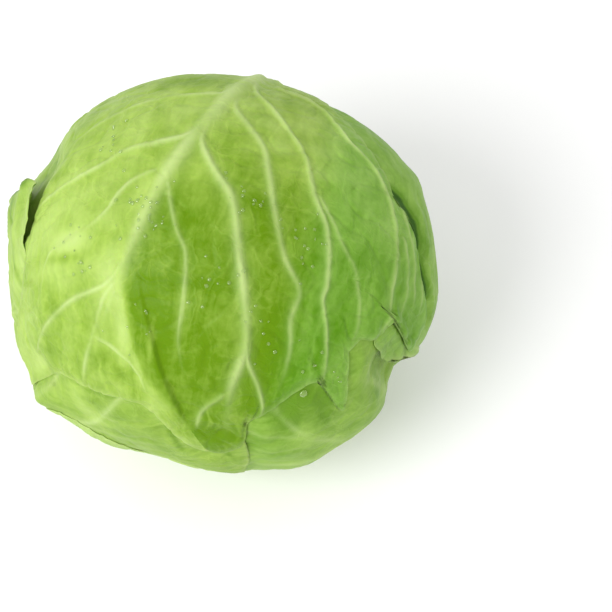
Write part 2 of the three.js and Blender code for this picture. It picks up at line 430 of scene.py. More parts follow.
# Stretches of its margin that are tucked down (-) or stand off (+): bearings with heights, and a width.
TOP_EDGES = [
    ([(-100, 0), (-94, -1.5), (-88, -2.2), (-77, -2.2), (-72, 0)], 7.0),  # under the left leaf
    ([(-50, 0), (-40, -0.4), (-26, -0.4), (-20, 0.3), (-9, 0.5), (-4, 0)], 4.0),
    ([(8, 0), (20, 0.4), (25, -0.4), (44, -0.4), (46, 0)], 4.0),
    ([(83, 0), (86, -3.0), (90, -4.0), (98, -4.0), (105, -2.5), (112, 0)], 3.0),  # along the slit
    ([(71, 0.3), (73.5, 2.0), (75, 2.8), (80, 1.0), (86, 0)], 6.0),  # corner above the tear
    ([(45, 0), (46.5, 0.4), (47.5, 0.7), (50, 0.4), (54, 0)], 5.0),  # loose flap
]
# The midrib, and the fold that leaves it for the crown.
MIDRIB = [
    (0, -83), (2.5, -75), (5.5, -60), (6.5, -47), (4, -33), (2, -22), (-1.5, -11), (-6, 1.5), (-10, 15.5),
    (-14.5, 30), (-20.5, 43.5), (-28, 60),
]
FOLD = [
    (-10, 16), (-9.5, 24), (-7.5, 32), (-5.5, 38), (-4, 42.5), (-2, 49), (0, 55), (3, 61.5), (5, 66),
    (8, 73),
]
# Left of this line the blade is pale.
PALE_SIDE = [
    (4, -60), (5, -27), (-2, -6), (-9.5, 14), (-12, 24), (-12.5, 31), (-11, 39), (-9, 47), (-5, 56),
    (2, 63), (8, 73),
]
# Along the slit the blade turns down into shade, which is painted as a darker strip along this line.
SLIT_SHADE_LINE = [(50, -22), (57, -18), (64, -15), (70.5, -9), (76, -1), (82, 3), (87, 8)]
# Each vein: its line, its widths at either end in degrees and its heights there in millimetres.
TOP_VEINS = [
    (MIDRIB, (3.4, 0.9), (2.4, 0.3)),
    ([(3, -76), (8, -64), (12, -56), (15, -48)], (2.8, 1.0), (2.2, 0.8)),  # root of the right veins
    ([(5.5, -32), (-4, -29.5), (-22, -23.5), (-35, -16), (-44, -8)], SIDE, (0.7, 0.3)),
    ([(0, -14), (-6, -10), (-19, -5.5), (-26, -1), (-38, 3.5), (-48, 9), (-54, 16)], SIDE, (0.9, 0.4)),
    ([(-9, 0), (-16, 5), (-21, 13), (-30, 19), (-38, 22), (-42, 32), (-44, 42)], FINE, (0.6, 0.3)),
    ([(-12, 23), (-18, 31), (-30, 35.5), (-44, 43.5), (-52.5, 50), (-58, 58)], SIDE, (0.9, 0.5)),
    ([(-14, 29), (-19, 35), (-22.5, 44), (-29, 57), (-32, 66)], SIDE, (0.7, 0.4)),
    ([(-23, 45), (-14, 50), (-8, 55.5), (-5, 64)], FINE, (0.6, 0.3)),
    ([(2, -18), (1, -10), (6.5, -1.5), (12.5, 5.5), (17.5, 20), (21, 31), (23.5, 42), (22, 50), (20.5, 58),
      (21, 67), (21, 76)], (0.8, 1.6), (1.3, 0.8)),
    ([(23, 41), (25, 47), (29, 53), (32, 60), (32, 66)], SIDE, (0.7, 0.5)),
    ([(19, 58), (14, 63), (11.5, 67), (10, 74)], SIDE, (0.8, 0.4)),
    ([(6, -30), (7, -23), (16.5, -12.5), (19.5, -5.5), (24, 6.5), (29, 17), (34.5, 24), (34, 32), (36, 40),
      (36, 50), (34, 58)], (0.9, 0.6), (0.7, 0.1)),
    ([(8, -44), (9.5, -36), (19, -24.5), (27.5, -14), (32.5, -3), (38, 5.5), (41.5, 18.5), (41.5, 24),
      (45, 31.5), (48.5, 43), (49, 52), (50, 60)], SIDE, (1.0, 0.6)),
    ([(14, -48), (16, -44.5), (27, -41.5), (38, -28.5), (49, -21), (57, -11), (61, -0.5), (63, 12),
      (65, 21), (62.5, 28.5), (60, 36)], SIDE, (1.0, 0.5)),
    ([(-5, 0), (-5, 3), (-0.5, 14.5), (3.5, 21.5), (4.5, 33), (4, 44), (6, 54)], FINE, (0.6, 0.3)),
    ([(34, -3), (39, 2.5), (44, 8.5), (48.5, 12.5), (52.5, 20), (54.5, 27), (55, 36)], FINE, (0.4, 0.2)),
    ([(60, -16), (66, -8), (72, 4), (76, 16)], FINE, (0.5, 0.3)),
    ([(63, -6), (68, 4), (70, 14), (69, 24)], FINE, (0.4, 0.2)),
    ([(69, -12), (74, -4), (78, 6), (80, 15)], FINE, (0.4, 0.2)),
]
# Soft ovals: x, y, half width, half height and how far the blade rises there, in millimetres.
TOP_DENTS = [
    (9, 28, 6, 4, -0.7), (20, 73, 8, 3, -1.3), (28, 70, 1.2, 7, -0.8), (34, 66, 7, 3, -0.6),
    (-8, 5, 5, 12, -0.5), (13, -2, 5, 10, 0.5), (28, 35, 6, 14, 0.5), (-28, 28, 7, 6, 0.6),
    (-30, 50, 7, 7, 0.6), (-46, 34, 6, 8, 0.5),
]
# The same, with how much paler the blade is there. Most give the blade's own tone; some are painted light,
# such as the paler stretches towards the stem, and painted shade, such as the dark strip along the bottom
# margin.
TOP_TONES_AND_PAINTED_LIGHT = [
    (-17, 30, 4, 8, 0.35), (-13, 44, 2.5, 9, 0.35), (-8, 54, 2, 5, 0.3), (-4, 46, 1.2, 6, 0.45),
    (-32, 19.5, 6, 2.5, 0.5), (-34, 24, 6, 1.5, -0.3), (-19, 21, 4, 5, -0.25), (-36, 27, 5, 4, 0.15),
    (-44, 50, 5, 5, -0.3), (-57, 54, 4, 4, 0.3), (-40, 38, 6, 6, -0.12), (-22, 52, 5, 3, -0.3),
    (-15, 56, 3, 2, -0.3), (-7, 34, 3.5, 6, -0.3), (-32, 8, 14, 16, 0.1), (36, 43, 8, 7, -0.25),
    (52, 30, 7, 8, -0.25), (-1, 45, 2, 10, -0.2), (9, 28.5, 6, 1.5, -0.4), (2, 0, 5, 6, 0.2),
    (4, 42, 3, 12, 0.15), (-3, 12, 5, 8, -0.1), (-12, -38, 10, 5, -0.25), (-30, 52, 15, 14, -0.14),
    (-11, 58, 5, 7, -0.22), (4, 71, 6, 5, -0.2), (31, 56, 8, 8, -0.22), (55, -8, 12, 14, 0.1),
    (10, 50, 8, 8, -0.1), (5, 68, 2, 6, -0.25), (18, 4.5, 5, 2, -0.25), (22, 12, 4, 6, -0.05),
    (29, 40, 3, 12, -0.15), (33, 62, 4, 2, -0.35), (34, 18, 3, 6, -0.1), (47, 35, 2.5, 8, -0.25),
    (40, 60, 5, 3, -0.25), (16, 75, 8, 2, -0.3), (23, 64, 3, 8, 0.15), (55, 28, 4, 14, 0.12),
    (66, 45, 14, 12, 0.2), (30, -8, 10, 10, 0.12), (22, -30, 14, 10, 0.15), (-15, -25, 25, 12, 0.15),
]


def top_shape(x, y):
    """The fold from the midrib to the crown, the dents and the puckers."""
    away, share, side = along_line(x, y, FOLD)
    along = smoothstep(share, 0.12, 0.55) * (1 - smoothstep(share, 0.85, 1.0))
    across = away * side
    left = 0.5 * (1 - np.tanh(across / 0.45))
    fold = (1.7 * left - 0.5 * (1 - left)) * np.exp(-((away / 7.0) ** 2)) * along
    dents = patches(x, y, TOP_DENTS)
    return fold + dents + 0.3 * ripples(x, y, 5, 28.0) + puckers(x, y, 6)


def top_paint(x, y):
    """Pale left of the fold and deep green right of it, bluer towards the right margin, and with painted
    shade along the slit.
    """
    away, _, side = along_line(x, y, PALE_SIDE)
    left = 0.5 * (1 - np.tanh(away * side / 1.2))
    lower = smoothstep(y, -20, 16)
    right = smoothstep(x, 26, 42)
    pale = 0.55 + 0.1 * lower * left - lower * (1 - left) * (0.44 - 0.18 * right)
    pale += patches(x, y, TOP_TONES_AND_PAINTED_LIGHT)
    # Painted shade: the blade is darkened along the slit, where it turns down into shade.
    away, share, _ = along_line(x, y, SLIT_SHADE_LINE)
    pale -= 0.4 * np.exp(-((away / 1.5) ** 2)) * smoothstep(share, 0.0, 0.4)
    pale += 0.05 * ripples(x, y, 11, 8.0) + 0.05 * ripples(x, y, 12, 24.0)
    blue = 0.1 + 0.75 * right
    return pale, blue


def leaf_list():
    """The leaves, inner to outer: each lies on those before it."""
    lower_left = [
        (0, 64), (30, 62), (60, 62), (90, 60), (120, 62), (150, 74), (165, 84), (180, 89), (-165, 84),
        (-150, 70), (-120, 61), (-90, 60), (-60, 62), (-30, 62),
    ]
    lower_right = [
        (0, 62), (30, 62), (60, 60), (90, 60), (120, 62), (150, 70), (165, 83), (180, 89), (-165, 84),
        (-150, 72), (-120, 62), (-90, 60), (-60, 60), (-30, 62),
    ]
    crown_right = [
        (0, 70), (30, 66), (60, 64), (90, 62), (120, 67), (150, 82), (165, 94), (180, 101), (-165, 96),
        (-150, 88), (-120, 74), (-90, 62), (-60, 60), (-30, 64),
    ]
    crown_left = [
        (0, 89), (3, 90), (30, 80), (60, 72), (90, 68), (120, 73), (150, 88), (165, 97), (180, 101),
        (-165, 93), (-150, 80), (-120, 65), (-90, 62), (-60, 66), (-45, 71), (-32, 77), (-20, 82),
        (-13, 85.5), (-5, 88),
    ]
    right = [
        (180, 67), (165, 66), (150, 61), (120, 60), (90, 60), (60, 56), (30, 46), (0, 36), (-25, 29),
        (-37, 31.5), (-40, 36), (-41, 46), (-46.5, 53.5), (-50.5, 58.5), (-54.5, 58), (-58, 53),
        (-60, 42), (-61.5, 34), (-64.5, 35), (-70.5, 38.5), (-76, 42), (-80.5, 44), (-85, 45), (-90, 46),
        (-93, 48), (-95, 51), (-96.5, 55), (-98.5, 60), (-102, 64.5), (-106, 66), (-112, 69), (-118, 72),
        (-134, 76), (-150, 74), (-165, 69),
    ]
    left = [
        (180, 71), (158, 64), (142, 54), (127, 45), (112, 38), (101, 35), (94, 34.5), (89, 35.5),
        (86.5, 38.5), (85, 44), (84, 52), (82, 56), (79.5, 58.5), (76, 60), (72, 60), (68, 58), (65, 56),
        (60, 57), (53, 59), (43, 56), (30, 52), (15, 49), (0, 50), (-30, 52), (-60, 58), (-90, 62),
        (-120, 60), (-150, 63), (-165, 68),
    ]
    under = [
        (0, 63), (10, 65), (16, 75), (21, 79.5), (30, 81.5), (38, 81), (45, 74), (52, 63), (60, 57),
        (90, 50), (120, 54), (150, 66), (165, 74), (180, 79), (-165, 74), (-150, 64), (-120, 56),
        (-90, 50), (-60, 50), (-30, 60),
    ]
    return [
        Leaf(
            "lower_left", "pale_leaf", (100, -160), 90, lower_left, tone=(0.75, 0.1),
            veins=branching_veins(lower_left, 21)),
        Leaf(
            "lower_right", "pale_leaf", (100, 152), 90, lower_right, tone=(0.7, 0.4),
            veins=branching_veins(lower_right, 22)),
        Leaf(
            "crown_right", "outer_leaf", (112, 104), 165, crown_right, tone=(0.45, 0.45),
            # The darker ovals are partly painted shade, next to the top leaf's margin and under its flap,
            # and partly the blade's own deeper tone.
            spots=[
                (-30, 39, 9, 7, -0.5), (-27, 21, 6, 9, -0.25), (-19, 37, 8, 4, -0.3),
                (-24, 26, 8, 4, -0.35), (-12, 46, 7, 6, -0.35), (-27, 32, 8, 8, -0.25),
                (-36, 15, 5, 6, -0.3), (-27, 17, 2, 8, 0.15), (-12, 33, 8, 3, 0.25),
                (2, 18, 4, 10, 0.2), (-4, 0, 5, 8, -0.3), (5, 8, 3, 8, -0.3),
            ],
            veins=branching_veins(crown_right, 23, height=0.3)),
        Leaf(
            "crown_left", "outer_leaf", (112, -112), 165, crown_left, tone=(0.44, 0.15),
            # The dark ovals near this leaf's tip are painted shadow under the top leaf's margin; the pale
            # one is its own tone.
            spots=[
                (-14, 78, 5, 5, -0.3), (7, 70, 10, 1, -0.5), (-8, 81, 6, 1, -0.4),
                (12, 45, 5, 12, 0.15),
            ],
            edges=[([(-35, 0), (-20, 0.5), (-5, 0.5), (5, 0)], 5.0)],
            veins=branching_veins(crown_left, 24, height=0.5)),
        Leaf(
            "right", "outer_leaf", (78, 112), 150, right, tone=(0.48, 0.7),
            # Painted shade: the dark oval and the dark crease line lie along the slit, where this leaf's
            # margin is in shade.
            spots=[(-42, 2, 5, 10, -0.25)],
            creases=[
                ([(-59, -9), (-51, -6), (-46, -1), (-43.5, 4.5), (-38.5, 9), (-32, 12)], 1.6, 1.7),
            ],
            edges=[
                ([(-104, 0), (-98, 0.8), (-95, 2.2), (-90, 2.4), (-76, 2.2), (-68, 1.4), (-62, 0)], 8.0),
                ([(-62, 0), (-56, 0.2), (-50, 0.6), (-45, 2.0), (-41, 3.2), (-38, 2.0), (-30, 0)], 6.0),
            ],
            veins=branching_veins(right, 25)),
        Leaf(
            "left", "outer_leaf", (82, -110), 150, left, tone=(0.65, 0.15),
            # Painted shade: the dark ovals and the dark crease at the tip of the loose lobe, on its
            # curled-over rim.
            spots=[
                (42, 4.5, 7, 1.5, -0.6), (50, 5, 3, 2, -0.4), (42, 10, 1.2, 8, -0.6),
                (45, 32, 1.5, 12, 0.2), (40, 31, 1.2, 10, -0.3),
            ],
            creases=[([(38, 4.5), (45, 5), (50, 5.5)], 1.5, 0.9)],
            bumps=[(51, 4, 4, 5, 5.0)],  # the tip of the loose lobe
            edges=[
                ([(54, 0), (60, 1.2), (64, 2.8), (68, 4.4), (72, 5.6), (76, 5.6), (80, 4.2), (84, 1.5),
                  (88, 0)], 22.0),
                ([(72, 0), (76, 1.0), (80, 2.2), (83, 2.8), (84.5, 2.6), (87, 1.0), (90, 0)], 8.0),
            ],
            veins=branching_veins(left, 26)),
        Leaf(
            "under", "pale_leaf", (90, 180), 170, under, tone=(0.7, 0.3),
            veins=branching_veins(under, 27)),
        Leaf(
            "top", "top_leaf", (95, -5), 285, TOP_OUTLINE,
            edges=TOP_EDGES, veins=TOP_VEINS, shape=top_shape, paint=top_paint),
    ]


LEAVES = leaf_list()


def depth_below(uppers, d, sizes):
    """How deep a surface runs under the leaves above it, and how much of it shows."""
    full, edge = sizes.pitch / MM, (sizes.edge_thickness + COVER_GAP * MM) / MM
    sunk = np.zeros(len(d))
    shown = np.ones(len(d))
    for upper in uppers:
        x, y = upper.flat(d)
        inside = upper.inside(x, y)
        over = 1 - smoothstep(-inside, COVER_CLEAR, COVER_CLEAR + COVER_EASE)
        dip = np.maximum(0.0, -upper.shape(x, y) - upper.lift(x, y, inside))
        pitch = edge + (full - edge) * smoothstep(inside, 0.0, MARGIN_TAPER)
        sunk += over * (pitch + dip)
        shown *= 1 - over
    return sunk, shown


def leaf_surface(leaf, x, y, sizes):
    """Outer and inner radius of a leaf at each flat place, and the strength of its veins."""
    d = leaf.wrap(x, y)
    uppers = LEAVES[LEAVES.index(leaf) + 1:]
    sunk, shown = depth_below(uppers, d, sizes)
    inside = leaf.inside(x, y)
    ridges, strength = leaf.ridges(x, y)
    raised = leaf.shape(x, y) * shown
    body = head_surface(d) - sunk + raised + leaf.lift(x, y, inside) + patches(x, y, leaf.bumps)
    ridges = sizes.vein_height * ridges * (HIDDEN_RIDGE + (1 - HIDDEN_RIDGE) * shown)
    outer = keep_above_floor(body + ridges, d)
    edge, full = sizes.edge_thickness / MM, sizes.thickness / MM
    inner = np.minimum(body, outer) - edge - (full - edge) * smoothstep(inside, 0.0, MARGIN_TAPER)
    return d, outer, inner, strength, inside


# Meshes.

def finished_mesh(bm, name):
    """The mesh of a bmesh, which is freed."""
    mesh = bpy.data.meshes.new(name)
    bm.to_mesh(mesh)
    bm.free()
    return mesh


def place(d, r):
    """Points in metres, at distance r in millimetres from the head's centre."""
    return CENTRE + d * r[:, None] * MM


def leaf_blank(segments):
    """A square plate from -1 to 1: a fine grid for the outer face, and rings above it for the inner."""
    bm = bmesh.new()
    bmesh.ops.create_grid(bm, x_segments=segments, y_segments=segments, size=1.0)
    rim = [edge for edge in bm.edges if edge.is_boundary]
    share = 1.0
    for wanted in INNER_RINGS:
        made = bmesh.ops.extrude_edge_only(bm, edges=rim)["geom"]
        rim = [item for item in made if isinstance(item, bmesh.types.BMEdge)]
        for corner in [item for item in made if isinstance(item, bmesh.types.BMVert)]:
            corner.co.x *= wanted / share
            corner.co.y *= wanted / share
            corner.co.z = INNER_Z
        share = wanted
    last = {corner for edge in rim for corner in edge.verts}
    bmesh.ops.pointmerge(bm, verts=list(last), merge_co=(0, 0, INNER_Z))
    bmesh.ops.recalc_face_normals(bm, faces=bm.faces)
    return finished_mesh(bm, "leaf")


def read_points(mesh):
    """The places of a mesh's vertices, one in each row."""
    points = np.empty(len(mesh.vertices) * 3)
    mesh.vertices.foreach_get("co", points)
    return points.reshape(-1, 3)


def write_points(mesh, points):
    """Move a mesh's vertices and shade it smooth."""
    mesh.vertices.foreach_set("co", points.astype(np.float32).ravel())
    mesh.polygons.foreach_set("use_smooth", np.ones(len(mesh.polygons), bool))
    mesh.update()


def write_attribute(mesh, name, values):
    attribute = mesh.attributes.new(name, "FLOAT", "POINT")
    attribute.data.foreach_set("value", values.astype(np.float32))


def write_uv(mesh, name, coordinates):
    layer = mesh.uv_layers.new(name=name)
    layer.data.foreach_set("uv", coordinates.astype(np.float32).ravel())


def loop_corners(mesh):
    """The vertex at each corner of each face."""
    corners = np.empty(len(mesh.loops), int)
    mesh.loops.foreach_get("vertex_index", corners)
    return corners


def bake_layout(mesh, blank):
    """The blank's square laid out twice: large for the outer face and small for the inner."""
    corners = loop_corners(mesh)
    starts = np.empty(len(mesh.polygons), int)
    counts = np.empty(len(mesh.polygons), int)
    mesh.polygons.foreach_get("loop_start", starts)
    mesh.polygons.foreach_get("loop_total", counts)
    is_inner = np.minimum.reduceat(blank[corners, 2], starts) > INNER_Z / 2
    all_inner = np.repeat(is_inner, counts)
    u = 0.5 + 0.495 * blank[corners, 0]
    share = 0.5 + 0.495 * blank[corners, 1]
    v = np.where(all_inner, 0.24 * share, 0.25 + 0.75 * share)
    return np.column_stack([u, v])


def add_piece(name, mesh, material, slot, *nodes):
    """Add a piece in place of the CAD nodes that it stands for, if any."""
    piece = bpy.data.objects.new(name, mesh)
    bpy.context.scene.collection.objects.link(piece)
    mesh.materials.append(material)
    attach(piece, "root")
    if nodes:
        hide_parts(*nodes)
    return piece


def make_leaf(leaf, sizes, material):
    """Wrap a flat blank into the leaf, with its veins, colours and maps."""
    mesh = leaf_blank(leaf.segments)
    blank = read_points(mesh)
    u, v = blank[:, 0], blank[:, 1]
    v = v + CROWDING * (1 - v**2)
    across = u * np.sqrt(1 - v**2 / 2)
    along = v * np.sqrt(1 - u**2 / 2)
    bearing = np.degrees(np.arctan2(across, along))
    out = np.hypot(across, along)
    even = leaf.blank_reach(bearing)
    arc = out * (even + (leaf.reach(bearing) - even) * out**4)
    x, y = arc * np.sin(np.radians(bearing)), arc * np.cos(np.radians(bearing))
    is_outer = blank[:, 2] < INNER_Z / 2
    d, outer, inner, strength, inside = leaf_surface(leaf, x, y, sizes)
    write_points(mesh, place(d, np.where(is_outer, outer, inner)))
    pale, blue = leaf.paint(x, y)
    strength = np.maximum(strength, np.clip(pale - WHITISH_FROM, 0.0, 0.6))
    write_attribute(mesh, "vein", strength)
    write_attribute(mesh, "pale", np.clip(pale, -2, 1))
    write_attribute(mesh, "blue", np.clip(blue, 0, 1))
    # Painted light: the rim attribute makes the margin paler, for light shining through the thin edge.
    write_attribute(mesh, "rim", np.exp(-np.maximum(inside, 0) / RIM_GLOW_WIDTH))
    corners = loop_corners(mesh)
    write_uv(mesh, "OFBake", bake_layout(mesh, blank))
    write_uv(mesh, "leaf", np.column_stack([x[corners], y[corners]]) / UV_SPAN + 0.5)
    return add_piece(leaf.name, mesh, material, leaf.slot, leaf.node)


# Materials.

def srgb(red, green, blue):
    """An 8-bit screen colour as the linear colour that a shader takes."""
    return tuple(
        c / 12.92 if c <= 0.04045 else ((c + 0.055) / 1.055) ** 2.4
        for c in (red / 255, green / 255, blue / 255)
    )


class Shader:
    """A node tree with short ways to add and join its nodes."""

    def __init__(self, name):
        self.material = bpy.data.materials.new(name)
        self.material.use_nodes = True
        self.tree = self.material.node_tree
        self.tree.nodes.clear()
        self.surface = self.node("ShaderNodeBsdfPrincipled")
        output = self.node("ShaderNodeOutputMaterial")
        self.tree.links.new(self.surface.outputs["BSDF"], output.inputs["Surface"])

    def node(self, kind, **settings):
        made = self.tree.nodes.new(kind)
        for key, value in settings.items():
            setattr(made, key, value)
        return made

    def set(self, socket, value):
        if isinstance(value, bpy.types.NodeSocket):
            self.tree.links.new(value, socket)
        elif isinstance(value, tuple) and len(value) == 3 and socket.type == "RGBA":
            socket.default_value = (*value, 1.0)
        else:
            socket.default_value = value

    def surface_values(self, values):
        """Settings that are the same all over the surface."""
        for name, value in values.items():
            self.surface.inputs[name].default_value = value

    def attribute(self, name):
        return self.node("ShaderNodeAttribute", attribute_name=name).outputs["Fac"]

    def math(self, operation, a, b=0.5, clamp=False):
        made = self.node("ShaderNodeMath", operation=operation, use_clamp=clamp)
        self.set(made.inputs[0], a)
        self.set(made.inputs[1], b)
        return made.outputs[0]

    def span(self, value, low, high, to_low=0.0, to_high=1.0):
        made = self.node("ShaderNodeMapRange", interpolation_type="SMOOTHSTEP")
        for socket, given in zip(made.inputs, (value, low, high, to_low, to_high)):
            self.set(socket, given)
        return made.outputs["Result"]

    def mix(self, share, a, b, blend="MIX"):
        made = self.node("ShaderNodeMix", data_type="RGBA", blend_type=blend)
        self.set(made.inputs["Factor"], share)
        self.set(made.inputs[6], a)
        self.set(made.inputs[7], b)
        return made.outputs[2]

    def noise(self, vector, scale, detail=3.0):
        made = self.node("ShaderNodeTexNoise")
        self.set(made.inputs["Vector"], vector)
        made.inputs["Scale"].default_value = scale
        made.inputs["Detail"].default_value = detail
        return made

    def bump(self, height, distance, strength=1.0):
        made = self.node("ShaderNodeBump")
        made.inputs["Strength"].default_value = strength
        made.inputs["Distance"].default_value = distance
        self.set(made.inputs["Height"], height)
        self.tree.links.new(made.outputs[0], self.surface.inputs["Normal"])


CREASE_SHADE = (0.02, 0.08, 0.0, 1.0)  # painted shade: the near-black green of the dark inside of a crease
# Scale and width of the lines of each net of fine veins, and its share in the whole.
NETS = ((20.0, 0.08, 0.6), (52.0, 0.12, 0.4))


def leaf_material(name, colours, roughness):
    """Waxy leaf blade: pale veins, a net of fine veins between them and soft patches of colour, with a
    paler rim of painted light at the margin and painted shade in the darkest creases.
    """
    s = Shader(name)
    flat = s.node("ShaderNodeUVMap", uv_map="leaf").outputs[0]
    solid = s.node("ShaderNodeTexCoord").outputs["Object"]
    vein, pale, blue, rim = (s.attribute(key) for key in ("vein", "pale", "blue", "rim"))

    stray = s.noise(flat, 20.0, 3.0)
    warp = s.node("ShaderNodeVectorMath", operation="MULTIPLY_ADD")
    s.set(warp.inputs[0], stray.outputs["Color"])
    warp.inputs[1].default_value = (0.05, 0.05, 0.0)
    s.set(warp.inputs[2], flat)
    nets = []
    for scale, width, share in NETS:
        cells = s.node("ShaderNodeTexVoronoi", voronoi_dimensions="2D", feature="DISTANCE_TO_EDGE")
        s.set(cells.inputs["Vector"], warp.outputs[0])
        cells.inputs["Scale"].default_value = scale
        lines = s.span(cells.outputs["Distance"], 0.0, width, 1.0, 0.0)
        nets.append(s.math("MULTIPLY", lines, share))
    net = s.math("ADD", *nets)
    clouds = s.noise(solid, 28.0, 4.0).outputs["Fac"]
    net = s.math("MULTIPLY", net, s.span(s.noise(flat, 9.0, 1.0).outputs["Fac"], 0.4, 0.6, 0.2, 1.0))
    specks = s.noise(solid, 420.0, 2.0).outputs["Fac"]
    grain = s.node("ShaderNodeMapping", vector_type="TEXTURE")
    s.set(grain.inputs["Vector"], warp.outputs[0])
    grain.inputs["Scale"].default_value = (0.02, 0.12, 1.0)
    streaks = s.noise(grain.outputs[0], 1.6, 4.0).outputs["Fac"]
    tone = pale
    for field, amount in ((clouds, 0.35), (streaks, 0.8), (specks, 0.35)):
        tone = s.math("ADD", tone, s.math("MULTIPLY", s.math("SUBTRACT", field, 0.5), amount))
    tone = s.math("ADD", tone, s.math("MULTIPLY", net, colours.net), clamp=True)
    blade = s.mix(tone, colours.deep, colours.pale)
    cool = s.mix(tone, colours.deep_cool, colours.pale_cool)
    blade = s.mix(blue, blade, cool)
    blade = s.mix(s.math("MULTIPLY", vein, 0.85), blade, colours.vein)
    # Painted light: the rim is mixed towards the pale vein colour.
    blade = s.mix(s.math("MULTIPLY", rim, 0.3), blade, colours.vein)
    # Painted shade: where paleness falls well below zero, the blade turns to the dark crease colour.
    blade = s.mix(s.span(pale, -0.3, -1.1, 0.0, 0.9), blade, CREASE_SHADE)
    s.set(s.surface.inputs["Base Color"], blade)

    s.set(s.surface.inputs["Roughness"], s.span(clouds, 0.3, 0.7, roughness - 0.06, roughness + 0.08))
    s.surface_values({
        "Specular IOR Level": 0.1,
        "Subsurface Weight": 0.12,
        "Subsurface Radius": (0.5, 1.0, 0.2),
        "Subsurface Scale": 2 * MM,
    })
    height = s.math("ADD", s.math("MULTIPLY", net, 0.5), s.math("MULTIPLY", specks, 0.3))
    height = s.math("ADD", height, s.math("MULTIPLY", s.noise(solid, 130.0, 3.0).outputs["Fac"], 1.5))
    s.bump(height, 0.5 * MM, 0.6)
    return s.material


def stem_material(colours):
    """Cut stem: moist, pale and full of fine fibres, a little browned towards its rim."""
    s = Shader("cut_stem")
    solid = s.node("ShaderNodeTexCoord").outputs["Object"]
    fibres = s.node("ShaderNodeTexVoronoi", feature="F1")
    s.set(fibres.inputs["Vector"], solid)
    fibres.inputs["Scale"].default_value = 900.0
    dots = s.span(fibres.outputs["Distance"], 0.1, 0.45, 1.0, 0.0)
    clouds = s.noise(solid, 180.0, 4.0).outputs["Fac"]
    wear = s.span(s.math("ADD", s.attribute("wear"), s.math("MULTIPLY", clouds, 0.5)), 0.55, 1.25)
    colour = s.mix(s.math("MULTIPLY", dots, 0.25), colours.stem, colours.pale)
    colour = s.mix(s.span(clouds, 0.35, 0.75, 0.0, 0.35), colour, colours.vein)
    colour = s.mix(wear, colour, colours.worn)
    s.set(s.surface.inputs["Base Color"], colour)
    s.set(s.surface.inputs["Roughness"], s.span(clouds, 0.3, 0.7, 0.5, 0.75))
    s.bump(s.math("ADD", dots, clouds), 0.4 * MM, 0.7)
    return s.material


def water_material():
    """Water beads: glossy and mostly see-through, with a painted green body colour that stands for the leaf
    seen, darkened, through them.
    """
    s = Shader("water")
    s.surface_values({
        # Painted refraction: this green stands for the leaf seen, darkened, through the drop.
        "Base Color": (0.33, 0.5, 0.1, 1.0),
        "Roughness": 0.03,
        "IOR": 1.5,
        "Specular IOR Level": 1.0,
        "Alpha": 0.35,
        "Coat Weight": 1.0,
        "Coat IOR": 1.7,
        "Coat Roughness": 0.02,
    })
    return s.material


def floor_material(colour):
    s = Shader("pale_floor")
    solid = s.node("ShaderNodeTexCoord").outputs["Object"]
    grain = s.noise(solid, 60.0, 4.0).outputs["Fac"]
    s.set(s.surface.inputs["Base Color"], s.mix(grain, tuple(c * 0.985 for c in colour), tuple(colour)))
    s.surface_values({"Roughness": 0.9, "Specular IOR Level": 0.1})
    return s.material


# Settings that a user would change.

class CabbageSizes(bpy.types.PropertyGroup):
    thickness: FloatProperty(
        name="Blade thickness", description="Thickness of a leaf away from its margin",
        default=0.8 * MM, unit="LENGTH")
    edge_thickness: FloatProperty(
        name="Margin thickness", description="Thickness of a leaf at its margin",
        default=0.35 * MM, unit="LENGTH")
    pitch: FloatProperty(
        name="Leaf pitch", description="From one leaf's outer face to the next one's",
        default=1.1 * MM, unit="LENGTH")
    vein_height: FloatProperty(
        name="Vein height", description="Scale of the ridges over the veins",
        default=1.0, min=0.0, subtype="FACTOR")
    drop_radius: FloatProperty(
        name="Drop radius", description="Radius of the larger water drops",
        default=0.9 * MM, unit="LENGTH")


class CabbageColours(bpy.types.PropertyGroup):
    pale: FloatVectorProperty(
        name="Pale blade", description="Yellow-green of a pale leaf blade",
        subtype="COLOR", default=srgb(160, 187, 80))
    deep: FloatVectorProperty(
        name="Deep blade", description="Green of the darkest leaf blade",
        subtype="COLOR", default=srgb(92, 128, 0))
    pale_cool: FloatVectorProperty(
        name="Pale cool blade", description="Pale green with a blue bloom",
        subtype="COLOR", default=srgb(142, 185, 84))
    deep_cool: FloatVectorProperty(
        name="Deep cool blade", description="Dark green with a blue bloom",
        subtype="COLOR", default=srgb(82, 134, 12))
    vein: FloatVectorProperty(
        name="Vein", description="Whitish green of the veins and ribs",
        subtype="COLOR", default=srgb(184, 203, 134))
    stem: FloatVectorProperty(
        name="Cut stem", description="Cream of the cut face",
        subtype="COLOR", default=srgb(226, 226, 178))
    worn: FloatVectorProperty(
        name="Dried stem", description="Tan of the dried rim of the cut",
        subtype="COLOR", default=srgb(176, 150, 92))
    net: FloatProperty(
        name="Fine veins", description="How strongly the net of fine veins shows",
        default=0.2, min=0.0, max=1.0, subtype="FACTOR")


